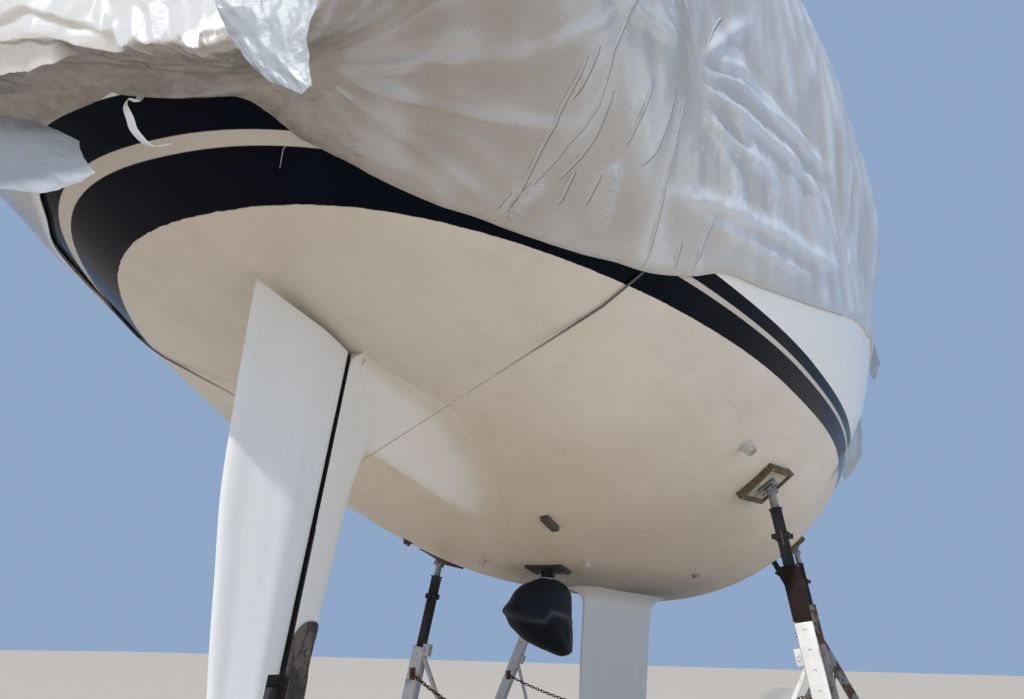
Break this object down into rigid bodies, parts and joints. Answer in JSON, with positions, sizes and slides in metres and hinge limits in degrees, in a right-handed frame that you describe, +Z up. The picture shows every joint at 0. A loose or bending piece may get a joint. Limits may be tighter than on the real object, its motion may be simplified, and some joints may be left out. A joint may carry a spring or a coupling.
{
  "type": "sailing yacht",
  "caption": "Sailing yacht laid up ashore: round hull with fin keel, skeg and rudder, standing on props and keel blocks under a shrunk winter cover, mast stepped.",
  "frame": {"origin": "centre of the box at ground level, under the props' feet and the keel blocks", "axes": "+X forward to the bow, +Y to port, +Z up"},
  "size_m": [13.762, 4.642, 20.07],
  "materials": {
    "hull": "white gelcoat, dark boot stripes, cream bottom paint",
    "fin_keel": "pale grey primer, satin",
    "skeg": "pale grey primer, satin",
    "skeg_heel_fitting": "bare brown metal",
    "rudder": "pale grey primer, satin",
    "drive_hull_plate": "dark rubber fairing",
    "drive_leg": "dark grey paint",
    "propeller_bag": "dark slate coated cloth",
    "through_hull_quarter": "painted over with bottom paint",
    "through_hull_port_aft": "painted over with bottom paint",
    "through_hull_starboard_aft": "painted over with bottom paint",
    "through_hull_starboard_mid": "painted over with bottom paint",
    "transducer_port": "painted over with bottom paint",
    "hull_anode": "brown weathered casting",
    "prop_starboard_aft_pad": "weathered timber",
    "prop_starboard_aft_screw": "dark brown rusted steel",
    "prop_starboard_aft_leg": "worn white paint",
    "prop_starboard_mid_pad": "weathered timber",
    "prop_starboard_mid_screw": "dark brown rusted steel",
    "prop_starboard_mid_leg": "worn white paint",
    "prop_starboard_fore_pad": "weathered timber",
    "prop_starboard_fore_screw": "dark brown rusted steel",
    "prop_starboard_fore_leg": "worn white paint",
    "prop_port_aft_pad": "weathered timber",
    "prop_port_aft_screw": "dark brown rusted steel",
    "prop_port_aft_leg": "worn white paint",
    "prop_port_mid_pad": "weathered timber",
    "prop_port_mid_screw": "dark brown rusted steel",
    "prop_port_mid_leg": "worn white paint",
    "prop_port_fore_pad": "weathered timber",
    "prop_port_fore_screw": "dark brown rusted steel",
    "prop_port_fore_leg": "worn white paint",
    "keel_block_aft_lower": "weathered timber",
    "keel_block_aft_upper": "weathered timber",
    "keel_block_fore_lower": "weathered timber",
    "keel_block_fore_upper": "weathered timber",
    "mast": "anodised",
    "spreader_lower_starboard": "anodised",
    "spreader_lower_port": "anodised",
    "spreader_upper_starboard": "anodised",
    "spreader_upper_port": "anodised",
    "forestay": "stranded wire",
    "backstay": "stranded wire",
    "shroud_starboard": "stranded wire",
    "shroud_port": "stranded wire",
    "prop_chain_aft": "rusty chain",
    "prop_chain_mid": "rusty chain",
    "winter_cover": "white shrunk film, satin",
    "tie_rope": "weathered rope"
  },
  "bodies": {
    "yacht": {"hull": "hull", "fin_keel": "fin_keel", "skeg": "skeg", "skeg_heel_fitting": "skeg_heel_fitting", "drive_hull_plate": "drive_hull_plate", "drive_leg": "drive_leg", "propeller_bag": "propeller_bag", "through_hull_quarter": "through_hull_quarter", "through_hull_port_aft": "through_hull_port_aft", "through_hull_starboard_aft": "through_hull_starboard_aft", "through_hull_starboard_mid": "through_hull_starboard_mid", "transducer_port": "transducer_port", "hull_anode": "hull_anode", "prop_starboard_aft_pad": "prop_starboard_aft_pad", "prop_starboard_aft_screw": "prop_starboard_aft_screw", "prop_starboard_aft_leg": "prop_starboard_aft_leg", "prop_starboard_mid_pad": "prop_starboard_mid_pad", "prop_starboard_mid_screw": "prop_starboard_mid_screw", "prop_starboard_mid_leg": "prop_starboard_mid_leg", "prop_starboard_fore_pad": "prop_starboard_fore_pad", "prop_starboard_fore_screw": "prop_starboard_fore_screw", "prop_starboard_fore_leg": "prop_starboard_fore_leg", "prop_port_aft_pad": "prop_port_aft_pad", "prop_port_aft_screw": "prop_port_aft_screw", "prop_port_aft_leg": "prop_port_aft_leg", "prop_port_mid_pad": "prop_port_mid_pad", "prop_port_mid_screw": "prop_port_mid_screw", "prop_port_mid_leg": "prop_port_mid_leg", "prop_port_fore_pad": "prop_port_fore_pad", "prop_port_fore_screw": "prop_port_fore_screw", "prop_port_fore_leg": "prop_port_fore_leg", "keel_block_aft_lower": "keel_block_aft_lower", "keel_block_aft_upper": "keel_block_aft_upper", "keel_block_fore_lower": "keel_block_fore_lower", "keel_block_fore_upper": "keel_block_fore_upper", "mast": "mast", "spreader_lower_starboard": "spreader_lower_starboard", "spreader_lower_port": "spreader_lower_port", "spreader_upper_starboard": "spreader_upper_starboard", "spreader_upper_port": "spreader_upper_port", "forestay": "forestay", "backstay": "backstay", "shroud_starboard": "shroud_starboard", "shroud_port": "shroud_port", "prop_chain_aft": "prop_chain_aft", "prop_chain_mid": "prop_chain_mid", "winter_cover": "winter_cover", "tie_rope": "tie_rope"},
    "rudder": {"rudder": "rudder"}
  },
  "joints": [
    {"name": "rudder_hinge", "type": "hinge", "parent": "yacht", "child": "rudder", "pos_m": [-4.665, 0, 2.27], "axis": [0.1884, 0, 0.9821], "range_deg": [-35, 35]}
  ]
}
